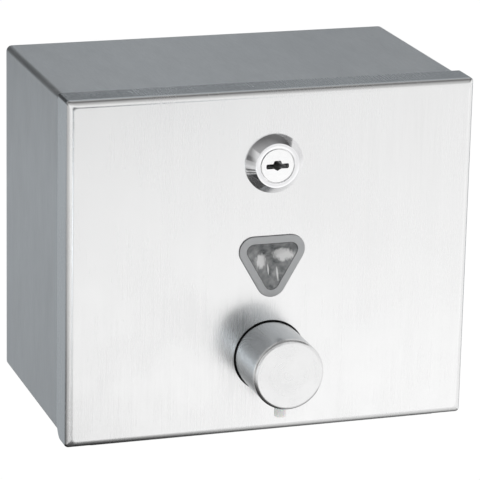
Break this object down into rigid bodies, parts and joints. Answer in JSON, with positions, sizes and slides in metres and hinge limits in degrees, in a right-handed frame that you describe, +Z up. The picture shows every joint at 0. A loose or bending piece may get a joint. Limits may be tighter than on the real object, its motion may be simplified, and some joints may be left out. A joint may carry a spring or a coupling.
{
  "type": "wall-mounted soap dispenser",
  "caption": "Wall-mounted horizontal soap dispenser of satin steel: a cabinet with a lockable tilt-down front that carries a push knob, a nozzle, a sight window and a tank.",
  "frame": {"origin": "Centre of the cabinet's back, in the plane of the wall.", "axes": "+X to the right seen from the front, +Y out of the cabinet's back into the wall, +Z up."},
  "size_m": [0.184, 0.1406, 0.1588],
  "materials": {
    "panel_steel": "satin stainless steel, fine vertical grain, clear of fingerprints",
    "body_steel": "satin stainless steel, a shade duller than the front",
    "knob_steel": "satin turned stainless steel",
    "lock_chrome": "bright chrome plate",
    "plug_chrome": "bright nickel plate",
    "zinc_steel": "zinc plated steel",
    "ball_steel": "polished stainless steel",
    "clear_plastic": "clear moulded plastic",
    "tank_plastic": "milky translucent plastic",
    "white_plastic": "white acetal",
    "nozzle_plastic": "white tube",
    "black_plastic": "black nylon",
    "rubber": "black rubber"
  },
  "bodies": {
    "cabinet": {"cabinet_shell": "body_steel", "lock_strike": "zinc_steel", "hinge_packer": "zinc_steel", "hinge_cabinet_leaf": "zinc_steel", "hinge_pin": "zinc_steel", "bumper_1": "rubber", "bumper_2": "rubber", "bumper_3": "rubber", "bumper_4": "rubber"},
    "front": {"front_panel": "panel_steel", "hinge_panel_leaf": "zinc_steel", "lock_housing": "lock_chrome", "lock_washer": "zinc_steel", "lock_nut": "zinc_steel", "window_lens": "clear_plastic", "window_gasket": "rubber", "window_retainer": "zinc_steel", "knob_collar": "black_plastic", "valve_body": "white_plastic", "stem_seal": "rubber", "tank_gasket": "rubber", "barrel_nut": "white_plastic", "return_spring": "zinc_steel", "inlet_elbow": "white_plastic", "inlet_seat": "white_plastic", "intake_tube": "white_plastic", "valve_nut_1": "zinc_steel", "valve_nut_2": "zinc_steel", "valve_nut_3": "zinc_steel", "valve_nut_4": "zinc_steel", "strap_nut_1": "zinc_steel", "strap_nut_2": "zinc_steel", "strap_nut_3": "zinc_steel", "strap_nut_4": "zinc_steel", "cradle_strap_left": "zinc_steel", "cradle_strap_right": "zinc_steel", "tank": "tank_plastic", "lid_pin": "zinc_steel"},
    "lock_core": {"lock_plug": "plug_chrome", "lock_cam": "zinc_steel", "cam_washer": "zinc_steel", "cam_screw": "zinc_steel"},
    "plunger": {"push_knob": "knob_steel", "plunger_stem": "white_plastic", "nozzle": "nozzle_plastic", "piston": "white_plastic", "piston_seal": "rubber", "outlet_valve": "rubber"},
    "lid": {"filler_lid": "white_plastic", "lid_gasket": "rubber"},
    "ball": {"inlet_ball": "ball_steel"}
  },
  "joints": [
    {"name": "front_tilt", "type": "hinge", "parent": "cabinet", "child": "front", "pos_m": [0, -0.0948, -0.0794], "axis": [1, 0, 0], "range_deg": [0, 35]},
    {"name": "lock_turn", "type": "hinge", "parent": "front", "child": "lock_core", "pos_m": [0, -0.1, 0.0452], "axis": [0, -1, 0], "range_deg": [0, 90]},
    {"name": "knob_push", "type": "slide", "parent": "front", "child": "plunger", "axis": [0, 1, 0], "range_m": [0, 0.01], "stiffness_N_per_m": 400, "springref_m": -0.012, "deforming": ["return_spring"]},
    {"name": "lid_open", "type": "hinge", "parent": "front", "child": "lid", "pos_m": [0, -0.0304, 0.02705], "axis": [-1, 0, 0], "range_deg": [0, 100]},
    {"name": "ball_lift", "type": "slide", "parent": "front", "child": "ball", "axis": [0, 0, 1], "range_m": [0, 0.0015]}
  ]
}
